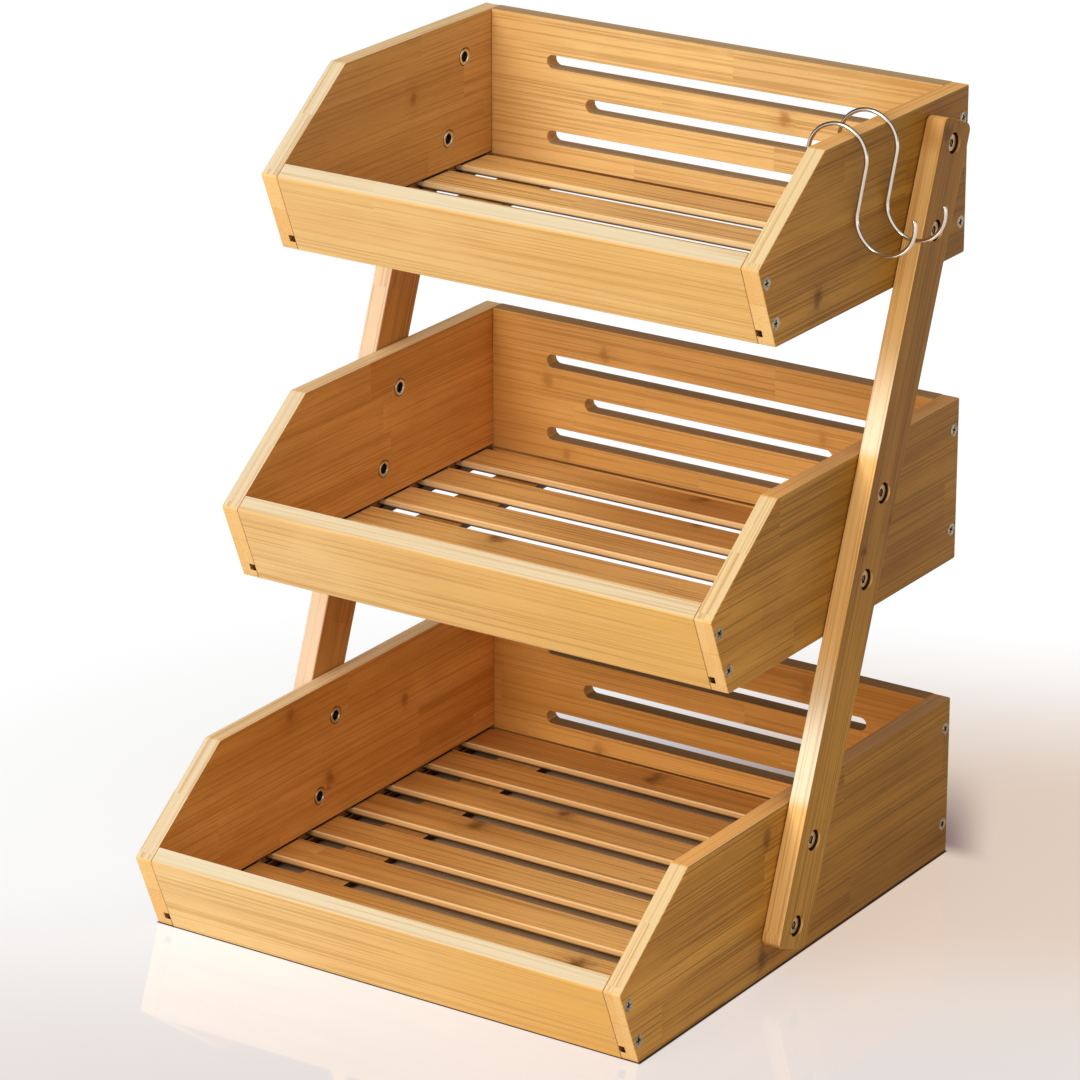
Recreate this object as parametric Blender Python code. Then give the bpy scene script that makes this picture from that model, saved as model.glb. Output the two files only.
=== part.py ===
# Three-tier bamboo fruit basket stand with two S-hooks, in metres, +Z up, front towards -Y.
# The origin is the middle of the lower back board's underside.
# Inside the stand's own empty, y = 0 is the plane of the three backs, and a depth is measured forward.

import math

import bmesh
import bpy
from mathutils import Matrix, Vector

# Fits
SEAT_GAP = 0.0003  # between two pieces that touch
CUT_OVERRUN = 0.003  # how far a cutter runs past the wood
WELD = 0.000001
EDGE_EASE = 0.0006  # sanded edges of the boards

# Baskets, from the lowest to the highest
TIER_NAMES = ("lower", "middle", "upper")
TIER_DEPTHS = (0.3096, 0.2288, 0.1890)  # at the foot of the front board
TIER_PITCH = 0.1700
BASKET_WIDTH = 0.3000
BASKET_HEIGHT = 0.0900
LIP_HEIGHT = 0.0438  # where the front board's outer face ends
LIP_OVERHANG = 0.0178  # how far that face leans out on the way up
SHOULDER_RUN = 0.0621  # from the lip back to where the side's top edge is level
SIDE_PANEL = 0.0100
FRONT_BOARD = 0.0092
BACK_BOARD = 0.0095

# Slots of the back board
SLOT_HEIGHT = 0.0074
SLOT_PITCH = 0.0211
SLOT_END_SPACES = (0.0360, 0.0609, 0.0360)  # from the board's end, for each slot from the lowest

# Floor of slats on two battens
SLAT_WIDTH = 0.0249
SLAT_THICKNESS = 0.0040
SLAT_SPACE = 0.0120
SLAT_ROUNDING = 0.0010
LEAST_SLAT_WIDTH = 0.0100  # a narrower front slat is left out
GROOVE_DEPTH = 0.0050
FLOOR_REAR_SPACES = (0.0025, 0.0051, 0.0031)  # from the back board to the first slat
FLOOR_FRONT_SPACE = 0.0010
BATTEN_WIDTH = 0.0285
BATTEN_THICKNESS = 0.0040
BATTEN_SIDE_SPACE = 0.0216  # between a side panel and its batten
BATTEN_FOOT_SPACE = 0.0005  # under the batten, up from the panel's foot

# Countersunk holes for the wood screws
SCREW_HEAD_RADIUS = 0.0036
SCREW_SHANK_RADIUS = 0.0017
FRONT_SCREW_FOOT_INSET = 0.0125
FRONT_SCREW_LIP_INSET = 0.0083
BACK_SCREW_FOOT_INSET = 0.0175
BACK_SCREW_TOP_INSET = 0.0167

# Uprights
UPRIGHT_WIDTH = 0.0290
UPRIGHT_THICKNESS = 0.0112
UPRIGHT_END = 0.0120  # past the first and the last bolt
UPRIGHT_CORNER = 0.0045

# Connector bolts and their sleeve nuts
BOLT_FOOT_INSET = 0.0265  # the low bolt, up from a basket's foot
BOLT_TOP_INSET = 0.0213  # the high bolt, down from a basket's top
FIRST_BOLT_DEPTH = 0.1774
LAST_BOLT_DEPTH = 0.0347
BOLT_SHANK_RADIUS = 0.0030
BOLT_HEAD_RIM = 0.00165
BOLT_HEAD_THICKNESS = 0.0020
BOLT_HEAD_RECESS = 0.0018
BOLT_HEAD_SPACE = 0.0011  # round the head in its counterbore
BOLT_SOCKET_RADIUS = 0.0018
BOLT_SOCKET_DEPTH = 0.0013
BOLT_TIP_DEPTH = 0.0040  # from the nut's mouth in to the bolt's tip
THREAD_DEPTH = 0.0002
NUT_WALL = 0.0009
NUT_RIM = 0.0006
NUT_RIM_THICKNESS = 0.0012
NUT_RIM_SPACE = 0.0007
NUT_END_SPACE = 0.0015  # from the nut's end to the panel's outer face

# S-hooks, placed by shares of the free edge between the shoulder and the upright
HOOK_NAMES = ("front_s_hook", "rear_s_hook")
HOOK_PLACE_SHARES = (0.364, 0.744)
HOOK_WIRE_RADIUS = 0.00115
HOOK_LOOP_RADIUS = 0.0168
HOOK_SHANK_LENGTH = 0.0245
HOOK_LEAN = math.radians(10.5)
HOOK_INNER_END = math.radians(180)
HOOK_TIP = math.radians(14)

# Facets
ROUND_SIDES = 16
SCREW_HOLE_SIDES = 12
SOCKET_SIDES = 6
CORNER_STEPS = 4
SLOT_END_STEPS = 8
SLAT_ROUNDING_STEPS = 2
HOOK_STEP = math.radians(10)
HOOK_RING_RESOLUTION = 3
SMOOTH_ANGLE = math.radians(35)

# Sizes that follow from those above
HALF_WIDTH = BASKET_WIDTH / 2
INNER_HALF_WIDTH = HALF_WIDTH - SIDE_PANEL
BOARD_END = INNER_HALF_WIDTH - SEAT_GAP
LEAN_SLOPE = LIP_OVERHANG / LIP_HEIGHT
SHOULDER_SLOPE = SHOULDER_RUN / (BASKET_HEIGHT - LIP_HEIGHT)
FRONT_BOARD_RUN = FRONT_BOARD * math.hypot(1, LEAN_SLOPE)
GROOVE_LEVEL = BATTEN_FOOT_SPACE + BATTEN_THICKNESS
GROOVE_HEIGHT = SLAT_THICKNESS + 2 * SEAT_GAP
SLAT_LEVEL = GROOVE_LEVEL + SEAT_GAP
BATTEN_LEVEL = SLAT_LEVEL - SEAT_GAP - BATTEN_THICKNESS
SLAT_PITCH = SLAT_WIDTH + SLAT_SPACE
TOP_LEVEL = TIER_PITCH * (len(TIER_NAMES) - 1)

UPRIGHT_INNER_FACE = HALF_WIDTH + SEAT_GAP
FIRST_BOLT_HEIGHT = BOLT_FOOT_INSET
LAST_BOLT_HEIGHT = TOP_LEVEL + BASKET_HEIGHT - BOLT_TOP_INSET
BOLT_LINE_SLOPE = (FIRST_BOLT_DEPTH - LAST_BOLT_DEPTH) / (LAST_BOLT_HEIGHT - FIRST_BOLT_HEIGHT)
UPRIGHT_LEAN = math.atan(BOLT_LINE_SLOPE)

BOLT_HEAD_RADIUS = BOLT_SHANK_RADIUS + BOLT_HEAD_RIM
BOLT_HEAD_SEAT = UPRIGHT_THICKNESS - BOLT_HEAD_RECESS - BOLT_HEAD_THICKNESS
COUNTERBORE_RADIUS = BOLT_HEAD_RADIUS + BOLT_HEAD_SPACE
NUT_LENGTH = SIDE_PANEL - NUT_END_SPACE
NUT_BORE_RADIUS = BOLT_SHANK_RADIUS - THREAD_DEPTH
NUT_RADIUS = BOLT_SHANK_RADIUS + NUT_WALL
NUT_RIM_RADIUS = NUT_RADIUS + NUT_RIM
NUT_POCKET_RADIUS = NUT_RIM_RADIUS + NUT_RIM_SPACE

SIDES = {"left": -1, "right": 1}


def clear_scene():
    for item in list(bpy.data.objects):
        bpy.data.objects.remove(item, do_unlink=True)


def make_material(name, colour, roughness, metallic=0.0):
    material = bpy.data.materials.new(name)
    material.use_nodes = True
    shader = material.node_tree.nodes["Principled BSDF"]
    shader.inputs["Base Color"].default_value = (*colour, 1)
    shader.inputs["Roughness"].default_value = roughness
    shader.inputs["Metallic"].default_value = metallic
    return material


def add_empty(name, location, parent=None):
    empty = bpy.data.objects.new(name, None)
    empty.location = location
    empty.parent = parent
    bpy.context.scene.collection.objects.link(empty)
    return empty


def add_object(name, data, parent, location=(0, 0, 0), rotation=(0, 0, 0)):
    item = bpy.data.objects.new(name, data)
    item.location = location
    item.rotation_euler = rotation
    item.parent = parent
    bpy.context.scene.collection.objects.link(item)
    return item


def finish_mesh(name, shape, material=None, smooth=False):
    mesh = bpy.data.meshes.new(name)
    shape.to_mesh(mesh)
    shape.free()
    if material:
        mesh.materials.append(material)
    if smooth:
        mesh.shade_smooth()
        mesh.set_sharp_from_angle(angle=SMOOTH_ANGLE)
    return mesh


# Solids

def drawn_out(points, travel):
    """The flat outline through the points, drawn out along travel."""
    shape = bmesh.new()
    face = shape.faces.new([shape.verts.new(point) for point in points])
    swept = bmesh.ops.extrude_face_region(shape, geom=[face])["geom"]
    moved = [item for item in swept if isinstance(item, bmesh.types.BMVert)]
    bmesh.ops.translate(shape, vec=travel, verts=moved)
    bmesh.ops.recalc_face_normals(shape, faces=shape.faces)
    return shape


def block(low, high):
    """A box between two opposite corners, given in any order."""
    low, high = Vector(low), Vector(high)
    shape = bmesh.new()
    stretch = Matrix.Diagonal([abs(size) for size in high - low]).to_4x4()
    bmesh.ops.create_cube(shape, size=1, matrix=Matrix.Translation((low + high) / 2) @ stretch)
    return shape


def turned(profile, sides):
    """The profile of (radius, height) points from the top down, turned about Z."""
    shape = bmesh.new()
    points = [shape.verts.new((radius, 0, height)) for radius, height in profile]
    lines = [shape.edges.new(pair) for pair in zip(points, points[1:])]
    bmesh.ops.spin(shape, geom=points + lines, cent=(0, 0, 0), axis=(0, 0, 1), angle=math.tau, steps=sides)
    bmesh.ops.remove_doubles(shape, verts=shape.verts, dist=WELD)
    bmesh.ops.recalc_face_normals(shape, faces=shape.faces)
    return shape


def gathered(pieces):
    """One mesh of several separate solids, each a (shape, place) pair."""
    whole = bmesh.new()
    for shape, place in pieces:
        bmesh.ops.transform(shape, matrix=place, verts=shape.verts)
        whole.from_mesh(finish_mesh("piece", shape))
    return whole


def cut(item, name, shape):
    """Cuts the shape, given in the item's own frame, out of the item."""
    cutter = add_object(name, finish_mesh(name, shape), item)
    cutter.hide_render = True
    cutter.display_type = "WIRE"
    boolean = item.modifiers.new(name, "BOOLEAN")
    boolean.operation = "DIFFERENCE"
    boolean.solver = "EXACT"
    boolean.object = cutter


def ease_edges(item):
    bevel = item.modifiers.new("eased edges", "BEVEL")
    bevel.width = EDGE_EASE
    bevel.segments = 1
    bevel.limit_method = "ANGLE"
    bevel.angle_limit = SMOOTH_ANGLE


def bevel_edges(shape, chosen, radius, steps):
    edges = [edge for edge in shape.edges if chosen(edge)]
    bmesh.ops.bevel(shape, geom=edges, offset=radius, segments=steps, profile=0.5, affect="EDGES")


def facing(side, x, y, z):
    """A place whose Z axis points away from the stand on that side."""
    return Matrix.Translation((x, y, z)) @ Matrix.Rotation(side * math.pi / 2, 4, "Y")


# Places on a basket

def front_depth(depth, height):
    """Depth of the front board's outer face at a height."""
    return depth + LEAN_SLOPE * height


def bolt_line_depth(height):
    return FIRST_BOLT_DEPTH - BOLT_LINE_SLOPE * (height - FIRST_BOLT_HEIGHT)


def bolt_heights(level):
    """Heights of the low and the high bolt of the basket that stands at this level."""
    return level + BOLT_FOOT_INSET, level + BASKET_HEIGHT - BOLT_TOP_INSET


def side_outline(depth):
    """(y, z) of a side panel, from the front's foot over the lip and the shoulder to the back's foot."""
    lip = front_depth(depth, LIP_HEIGHT)
    return [
        (-depth, 0),
        (-lip, LIP_HEIGHT),
        (SHOULDER_RUN - lip, BASKET_HEIGHT),
        (0, BASKET_HEIGHT),
        (0, 0),
    ]


def front_outline(depth):
    """(y, z) of the front board, whose top edge lies in the slope of the side panels."""
    lip = front_depth(depth, LIP_HEIGHT)
    rise = FRONT_BOARD_RUN / (SHOULDER_SLOPE + LEAN_SLOPE)
    return [
        (-depth, 0),
        (-lip, LIP_HEIGHT),
        (SHOULDER_SLOPE * rise - lip, LIP_HEIGHT + rise),
        (FRONT_BOARD_RUN - depth, 0),
    ]


def slot_outline(end_space):
    """(x, z) of a slot with round ends, which stop this far from the board's ends."""
    radius = SLOT_HEIGHT / 2
    centre = BOARD_END - end_space - radius
    points = []
    for side in (1, -1):
        for step in range(SLOT_END_STEPS + 1):
            angle = math.pi * (step / SLOT_END_STEPS - side / 2)
            points.append((side * centre + radius * math.cos(angle), radius * math.sin(angle)))
    return points


# Boards of a basket

def add_side_panel(tier, side_name, basket, level, depth, wood):
    side = SIDES[side_name]
    inner, outer = side * INNER_HALF_WIDTH, side * HALF_WIDTH
    outline = [(inner, y, z) for y, z in side_outline(depth)]
    shape = drawn_out(outline, (outer - inner, 0, 0))
    panel = add_object(f"{tier}_{side_name}_panel", finish_mesh("side_panel", shape, wood), basket)
    ease_edges(panel)
    groove = block(
        (inner - side * CUT_OVERRUN, CUT_OVERRUN, GROOVE_LEVEL),
        (
            inner + side * GROOVE_DEPTH,
            -front_depth(depth, LIP_HEIGHT) - CUT_OVERRUN,
            GROOVE_LEVEL + GROOVE_HEIGHT,
        ),
    )
    cut(panel, f"{tier}_{side_name}_groove", groove)
    holes = [
        (nut_hole(), facing(side, inner, -bolt_line_depth(height), height - level))
        for height in bolt_heights(level)
    ]
    holes += [(screw_hole(), facing(side, outer, -y, z)) for y, z in screw_places(depth)]
    cut(panel, f"{tier}_{side_name}_holes", gathered(holes))


def nut_hole():
    """The pocket of the nut's rim and the hole of its sleeve, up from the panel's inner face."""
    pocket = NUT_RIM_THICKNESS + SEAT_GAP
    hole = NUT_RADIUS + SEAT_GAP
    return turned(
        [
            (0, SIDE_PANEL + CUT_OVERRUN),
            (hole, SIDE_PANEL + CUT_OVERRUN),
            (hole, pocket),
            (NUT_POCKET_RADIUS, pocket),
            (NUT_POCKET_RADIUS, -CUT_OVERRUN),
            (0, -CUT_OVERRUN),
        ],
        ROUND_SIDES,
    )


def screw_hole():
    """A countersink in the panel's outer face and the clearance hole under it."""
    return turned(
        [
            (0, CUT_OVERRUN),
            (SCREW_HEAD_RADIUS + CUT_OVERRUN, CUT_OVERRUN),
            (SCREW_SHANK_RADIUS, SCREW_SHANK_RADIUS - SCREW_HEAD_RADIUS),
            (SCREW_SHANK_RADIUS, -SIDE_PANEL - CUT_OVERRUN),
            (0, -SIDE_PANEL - CUT_OVERRUN),
        ],
        SCREW_HOLE_SIDES,
    )


def screw_places(depth):
    """(depth, height) of the screws into the middle of the front and the back board."""
    front_heights = (FRONT_SCREW_FOOT_INSET, LIP_HEIGHT - FRONT_SCREW_LIP_INSET)
    back_heights = (BACK_SCREW_FOOT_INSET, BASKET_HEIGHT - BACK_SCREW_TOP_INSET)
    places = [(front_depth(depth, height) - FRONT_BOARD_RUN / 2, height) for height in front_heights]
    return places + [(BACK_BOARD / 2, height) for height in back_heights]


def add_front_board(tier, basket, depth, wood):
    shape = drawn_out([(-BOARD_END, y, z) for y, z in front_outline(depth)], (2 * BOARD_END, 0, 0))
    board = add_object(f"{tier}_front_board", finish_mesh("front_board", shape, wood), basket)
    ease_edges(board)


def add_back_board(tier, basket, wood):
    shape = block((-BOARD_END, -BACK_BOARD, 0), (BOARD_END, 0, BASKET_HEIGHT))
    board = add_object(f"{tier}_back_board", finish_mesh("back_board", shape, wood), basket)
    ease_edges(board)
    slots = []
    for number, end_space in enumerate(SLOT_END_SPACES):
        height = BASKET_HEIGHT / 2 + SLOT_PITCH * (number - (len(SLOT_END_SPACES) - 1) / 2)
        outline = [(x, CUT_OVERRUN, z) for x, z in slot_outline(end_space)]
        slot = drawn_out(outline, (0, -BACK_BOARD - 2 * CUT_OVERRUN, 0))
        slots.append((slot, Matrix.Translation((0, 0, height))))
    cut(board, f"{tier}_slots", gathered(slots))


# Floor of a basket

def floor_end(depth, height):
    """How far forward the floor may reach at a height, behind the leaning front board."""
    return front_depth(depth, height) - FRONT_BOARD_RUN - FLOOR_FRONT_SPACE


def slat_rows(depth, rear_space):
    """(depth of the back edge, width) of each floor slat, from the back. The front one is trimmed to fit."""
    start = BACK_BOARD + rear_space
    room = floor_end(depth, SLAT_LEVEL) - start
    count = int((room - LEAST_SLAT_WIDTH) / SLAT_PITCH) + 1
    return [
        (start + row * SLAT_PITCH, min(SLAT_WIDTH, room - row * SLAT_PITCH))
        for row in range(count)
    ]


def slat_mesh(width, wood):
    """A slat with its rear edge at y = 0 and its underside at z = 0, rounded along both top edges."""
    end = INNER_HALF_WIDTH + GROOVE_DEPTH - SEAT_GAP
    shape = block((-end, -width, 0), (end, 0, SLAT_THICKNESS))

    def long_top_edge(edge):
        first, last = edge.verts
        return min(first.co.z, last.co.z) > 0 and abs(first.co.x - last.co.x) > end

    bevel_edges(shape, long_top_edge, SLAT_ROUNDING, SLAT_ROUNDING_STEPS)
    return finish_mesh("floor_slat", shape, wood)


def add_floor(tier, basket, depth, rear_space, slat_wood, batten_wood):
    rows = slat_rows(depth, rear_space)
    meshes = {width: slat_mesh(width, slat_wood) for _, width in rows}
    for number, (start, width) in enumerate(rows, 1):
        add_object(f"{tier}_floor_slat_{number}", meshes[width], basket, (0, -start, SLAT_LEVEL))
    first, (last, last_width) = rows[0][0], rows[-1]
    batten_end = min(last + last_width, floor_end(depth, BATTEN_LEVEL))
    half = BATTEN_WIDTH / 2
    shape = block((-half, -batten_end, 0), (half, -first, BATTEN_THICKNESS))
    mesh = finish_mesh("floor_batten", shape, batten_wood)
    centre = INNER_HALF_WIDTH - BATTEN_SIDE_SPACE - half
    for side_name, side in SIDES.items():
        batten = add_object(f"{tier}_{side_name}_batten", mesh, basket, (side * centre, 0, BATTEN_LEVEL))
        ease_edges(batten)


# Uprights and bolts

def add_upright(side_name, stand, wood):
    """An upright in its own frame: the first bolt at the origin, Z along the wood, X across it."""
    side = SIDES[side_name]
    length = math.hypot(FIRST_BOLT_DEPTH - LAST_BOLT_DEPTH, LAST_BOLT_HEIGHT - FIRST_BOLT_HEIGHT)
    half = UPRIGHT_WIDTH / 2
    shape = block((0, -half, -UPRIGHT_END), (side * UPRIGHT_THICKNESS, half, length + UPRIGHT_END))

    def corner_edge(edge):
        return abs(edge.verts[0].co.x - edge.verts[1].co.x) > UPRIGHT_THICKNESS / 2

    bevel_edges(shape, corner_edge, UPRIGHT_CORNER, CORNER_STEPS)
    place = (side * UPRIGHT_INNER_FACE, -FIRST_BOLT_DEPTH, FIRST_BOLT_HEIGHT)
    mesh = finish_mesh("upright", shape, wood)
    upright = add_object(f"{side_name}_upright", mesh, stand, place, (-UPRIGHT_LEAN, 0, 0))
    ease_edges(upright)
    holes = []
    for tier in range(len(TIER_NAMES)):
        for height in bolt_heights(tier * TIER_PITCH):
            along = (height - FIRST_BOLT_HEIGHT) / math.cos(UPRIGHT_LEAN)
            holes.append((bolt_hole(), facing(side, 0, 0, along)))
    cut(upright, f"{side_name}_upright_holes", gathered(holes))


def bolt_hole():
    """The shank's hole and the head's counterbore, out from the upright's inner face."""
    hole = BOLT_SHANK_RADIUS + SEAT_GAP
    seat = BOLT_HEAD_SEAT - SEAT_GAP
    return turned(
        [
            (0, UPRIGHT_THICKNESS + CUT_OVERRUN),
            (COUNTERBORE_RADIUS, UPRIGHT_THICKNESS + CUT_OVERRUN),
            (COUNTERBORE_RADIUS, seat),
            (hole, seat),
            (hole, -CUT_OVERRUN),
            (0, -CUT_OVERRUN),
        ],
        ROUND_SIDES,
    )


def connector_mesh(metal):
    """A sleeve nut, flush with the panel's inner face at z = 0, and the bolt screwed into it."""
    seat = SIDE_PANEL + SEAT_GAP + BOLT_HEAD_SEAT
    head = seat + BOLT_HEAD_THICKNESS
    shape = turned(
        [
            (0, head),
            (BOLT_HEAD_RADIUS, head),
            (BOLT_HEAD_RADIUS, seat),
            (BOLT_SHANK_RADIUS, seat),
            (BOLT_SHANK_RADIUS, NUT_LENGTH),
            (NUT_RADIUS, NUT_LENGTH),
            (NUT_RADIUS, NUT_RIM_THICKNESS),
            (NUT_RIM_RADIUS, NUT_RIM_THICKNESS),
            (NUT_RIM_RADIUS, 0),
            (NUT_BORE_RADIUS, 0),
            (NUT_BORE_RADIUS, BOLT_TIP_DEPTH),
            (0, BOLT_TIP_DEPTH),
        ],
        ROUND_SIDES,
    )
    return finish_mesh("connector", shape, metal, smooth=True), head


def add_bolts(tier, basket, level, metal):
    mesh, head = connector_mesh(metal)
    for side_name, side in SIDES.items():
        for height_name, height in zip(("low", "high"), bolt_heights(level)):
            place = facing(side, side * INNER_HALF_WIDTH, -bolt_line_depth(height), height - level)
            name = f"{tier}_{side_name}_{height_name}_bolt"
            bolt = add_object(name, mesh, basket, place.to_translation(), place.to_euler())
            socket = turned(
                [
                    (0, head + CUT_OVERRUN),
                    (BOLT_SOCKET_RADIUS, head + CUT_OVERRUN),
                    (BOLT_SOCKET_RADIUS, head - BOLT_SOCKET_DEPTH),
                    (0, head - BOLT_SOCKET_DEPTH),
                ],
                SOCKET_SIDES,
            )
            cut(bolt, f"{name}_socket", socket)


# S-hooks

def arc(centre, start, end):
    """Points of a wire loop in the X-Z plane, from one angle to another, both ways round."""
    steps = math.ceil(abs(end - start) / HOOK_STEP)
    angles = [start + (end - start) * step / steps for step in range(steps + 1)]
    return [centre + HOOK_LOOP_RADIUS * Vector((math.cos(angle), 0, math.sin(angle))) for angle in angles]


def hook_loops():
    """Centres of the upper and the lower loop, in the basket's frame.

    The lower loop leans on the panel's outer face, and the upper one hangs on the panel's eased top edge.
    """
    across = Vector((math.cos(HOOK_LEAN), 0, -math.sin(HOOK_LEAN)))
    down = Vector((-math.sin(HOOK_LEAN), 0, -math.cos(HOOK_LEAN)))
    apart = 2 * HOOK_LOOP_RADIUS * across + HOOK_SHANK_LENGTH * down
    lower_x = HALF_WIDTH + SEAT_GAP + HOOK_WIRE_RADIUS + HOOK_LOOP_RADIUS
    upper_x = lower_x - apart.x
    inside = HOOK_LOOP_RADIUS - HOOK_WIRE_RADIUS - SEAT_GAP
    edge_x = HALF_WIDTH - EDGE_EASE
    upper_z = BASKET_HEIGHT - math.sqrt(inside**2 - (edge_x - upper_x) ** 2)
    upper = Vector((upper_x, 0, upper_z))
    return upper, upper + apart


def hook_depths(lower_loop):
    """Where the hooks hang, between the shoulder and the upright's front edge at the hooks' foot."""
    shoulder = front_depth(TIER_DEPTHS[-1], LIP_HEIGHT) - SHOULDER_RUN
    lowest = TOP_LEVEL + lower_loop.z - HOOK_LOOP_RADIUS - HOOK_WIRE_RADIUS
    upright_edge = bolt_line_depth(lowest) + UPRIGHT_WIDTH / 2 / math.cos(UPRIGHT_LEAN)
    return [shoulder - share * (shoulder - upright_edge) for share in HOOK_PLACE_SHARES]


def add_hooks(basket, steel):
    upper, lower = hook_loops()
    route = arc(upper, HOOK_INNER_END, -HOOK_LEAN) + arc(lower, math.pi - HOOK_LEAN, math.tau + HOOK_TIP)
    wire = bpy.data.curves.new("s_hook", "CURVE")
    wire.dimensions = "3D"
    wire.bevel_depth = HOOK_WIRE_RADIUS
    wire.bevel_resolution = HOOK_RING_RESOLUTION
    wire.use_fill_caps = True
    spline = wire.splines.new("POLY")
    spline.points.add(len(route) - 1)
    for point, place in zip(spline.points, route):
        point.co = (*(place - upper), 1)
    wire.materials.append(steel)
    for name, depth in zip(HOOK_NAMES, hook_depths(lower)):
        add_object(name, wire, basket, (upper.x, -depth, upper.z))


def build_stand():
    front_wood = make_material("bamboo_front", (0.72, 0.43, 0.16), 0.42)
    side_wood = make_material("bamboo_side", (0.47, 0.27, 0.10), 0.45)
    back_wood = make_material("bamboo_back", (0.62, 0.36, 0.13), 0.45)
    slat_wood = make_material("bamboo_slat", (0.66, 0.39, 0.14), 0.45)
    batten_wood = make_material("bamboo_batten", (0.55, 0.33, 0.13), 0.55)
    upright_wood = make_material("bamboo_upright", (0.58, 0.34, 0.12), 0.42)
    bolt_metal = make_material("zinc_bolt", (0.74, 0.72, 0.66), 0.35, 1.0)
    hook_steel = make_material("hook_steel", (0.78, 0.78, 0.77), 0.18, 1.0)

    stand = add_empty("stand", (0, BACK_BOARD / 2, 0))
    for number, tier in enumerate(TIER_NAMES):
        level, depth = number * TIER_PITCH, TIER_DEPTHS[number]
        basket = add_empty(f"{tier}_basket", (0, 0, level), stand)
        for side_name in SIDES:
            add_side_panel(tier, side_name, basket, level, depth, side_wood)
        add_front_board(tier, basket, depth, front_wood)
        add_back_board(tier, basket, back_wood)
        add_floor(tier, basket, depth, FLOOR_REAR_SPACES[number], slat_wood, batten_wood)
        add_bolts(tier, basket, level, bolt_metal)
    for side_name in SIDES:
        add_upright(side_name, stand, upright_wood)
    add_hooks(basket, hook_steel)


clear_scene()
build_stand()
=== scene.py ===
# Tiered bamboo fruit basket stand with two wire S-hooks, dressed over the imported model
import math

import bmesh
import bpy
from mathutils import Matrix, Vector


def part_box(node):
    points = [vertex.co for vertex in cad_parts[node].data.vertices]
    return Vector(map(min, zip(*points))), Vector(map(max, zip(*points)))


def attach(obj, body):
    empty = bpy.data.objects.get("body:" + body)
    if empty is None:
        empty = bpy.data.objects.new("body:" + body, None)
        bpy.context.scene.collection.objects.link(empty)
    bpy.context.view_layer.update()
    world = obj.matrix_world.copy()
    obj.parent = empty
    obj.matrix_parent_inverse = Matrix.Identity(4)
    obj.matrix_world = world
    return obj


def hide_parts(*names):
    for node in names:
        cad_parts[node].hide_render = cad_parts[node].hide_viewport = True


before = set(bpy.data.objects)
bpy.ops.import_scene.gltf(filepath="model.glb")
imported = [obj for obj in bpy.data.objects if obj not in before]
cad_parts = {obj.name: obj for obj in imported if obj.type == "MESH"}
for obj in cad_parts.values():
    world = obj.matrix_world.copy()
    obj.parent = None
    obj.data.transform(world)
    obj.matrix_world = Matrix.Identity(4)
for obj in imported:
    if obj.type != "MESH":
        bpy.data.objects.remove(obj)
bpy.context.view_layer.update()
print("model loaded:", len(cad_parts), "nodes")

# Sizes that several pieces share, in metres
stand = {
    "tiers": ("lower", "middle", "upper"),
    "depths": (0.3096, 0.2288, 0.189),  # back plane to the foot of each front board
    "pitch": 0.17,
    "backPlane": 0.00475,  # y of the three backs
    "halfWidth": 0.15,
    "height": 0.09,
    "lip": 0.0438,  # where the front board's outer face ends
    "overhang": 0.0178,  # how far that face leans out
    "shoulder": 0.0621,  # lip back to the level top edge
    "gap": 0.0003,
    "lipEase": 0.0011,
    "boltInsets": (0.0265, 0.0687),  # heights over a basket's foot
    "firstBoltDepth": 0.1774,
    "boltSlope": 0.37337,  # depth lost for each metre up
}
upLean = math.atan(stand["boltSlope"])


# Bench work

spareWood = 0.005  # left on a blank for the saw
same = 1e-5  # measures closer than this are one


def makeActive(piece):
    bpy.ops.object.select_all(action="DESELECT")
    piece.select_set(True)
    bpy.context.view_layer.objects.active = piece


def startEdit(piece):
    makeActive(piece)
    bpy.ops.object.mode_set(mode="EDIT")
    bpy.ops.mesh.select_all(action="SELECT")


def endEdit():
    bpy.ops.object.mode_set(mode="OBJECT")


def at(x, depth, height):
    # depth is measured forward from the plane of the backs
    return Vector((x, stand["backPlane"] - depth, height))


def named(name):
    # the mesh that was just added, its place in its mesh
    piece = bpy.context.active_object
    piece.name = piece.data.name = name
    bpy.ops.object.transform_apply(location=True, rotation=True, scale=True)
    return piece


def block(name, low, high):
    # a board blank between two corners
    low, high = Vector(low), Vector(high)
    bpy.ops.object.select_all(action="DESELECT")
    bpy.ops.mesh.primitive_cube_add(size=1, location=(low + high) / 2, scale=high - low)
    return named(name)


def turned(name, rings, sides=40):
    # a shape turned on Z: a disc drawn out and resized from ring to ring, each (radius, height)
    radius, height = rings[0]
    bpy.ops.object.select_all(action="DESELECT")
    bpy.ops.mesh.primitive_circle_add(
        vertices=sides, radius=radius, fill_type="NGON", location=(0, 0, height))
    piece = named(name)
    startEdit(piece)
    for wider, higher in rings[1:]:
        bpy.ops.mesh.extrude_region_move(TRANSFORM_OT_translate={"value": (0, 0, higher - height)})
        if wider != radius:
            share = wider / radius
            bpy.ops.transform.resize(value=(share, share, 1), center_override=(0, 0, higher))
        radius, height = wider, higher
    bpy.ops.mesh.select_all(action="SELECT")
    bpy.ops.mesh.normals_make_consistent(inside=False)
    endEdit()
    return piece


def trim(piece, point, outward):
    # saws off what lies outward of a plane
    startEdit(piece)
    bpy.ops.mesh.bisect(plane_co=point, plane_no=outward, use_fill=True, clear_outer=True)
    endEdit()


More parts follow.
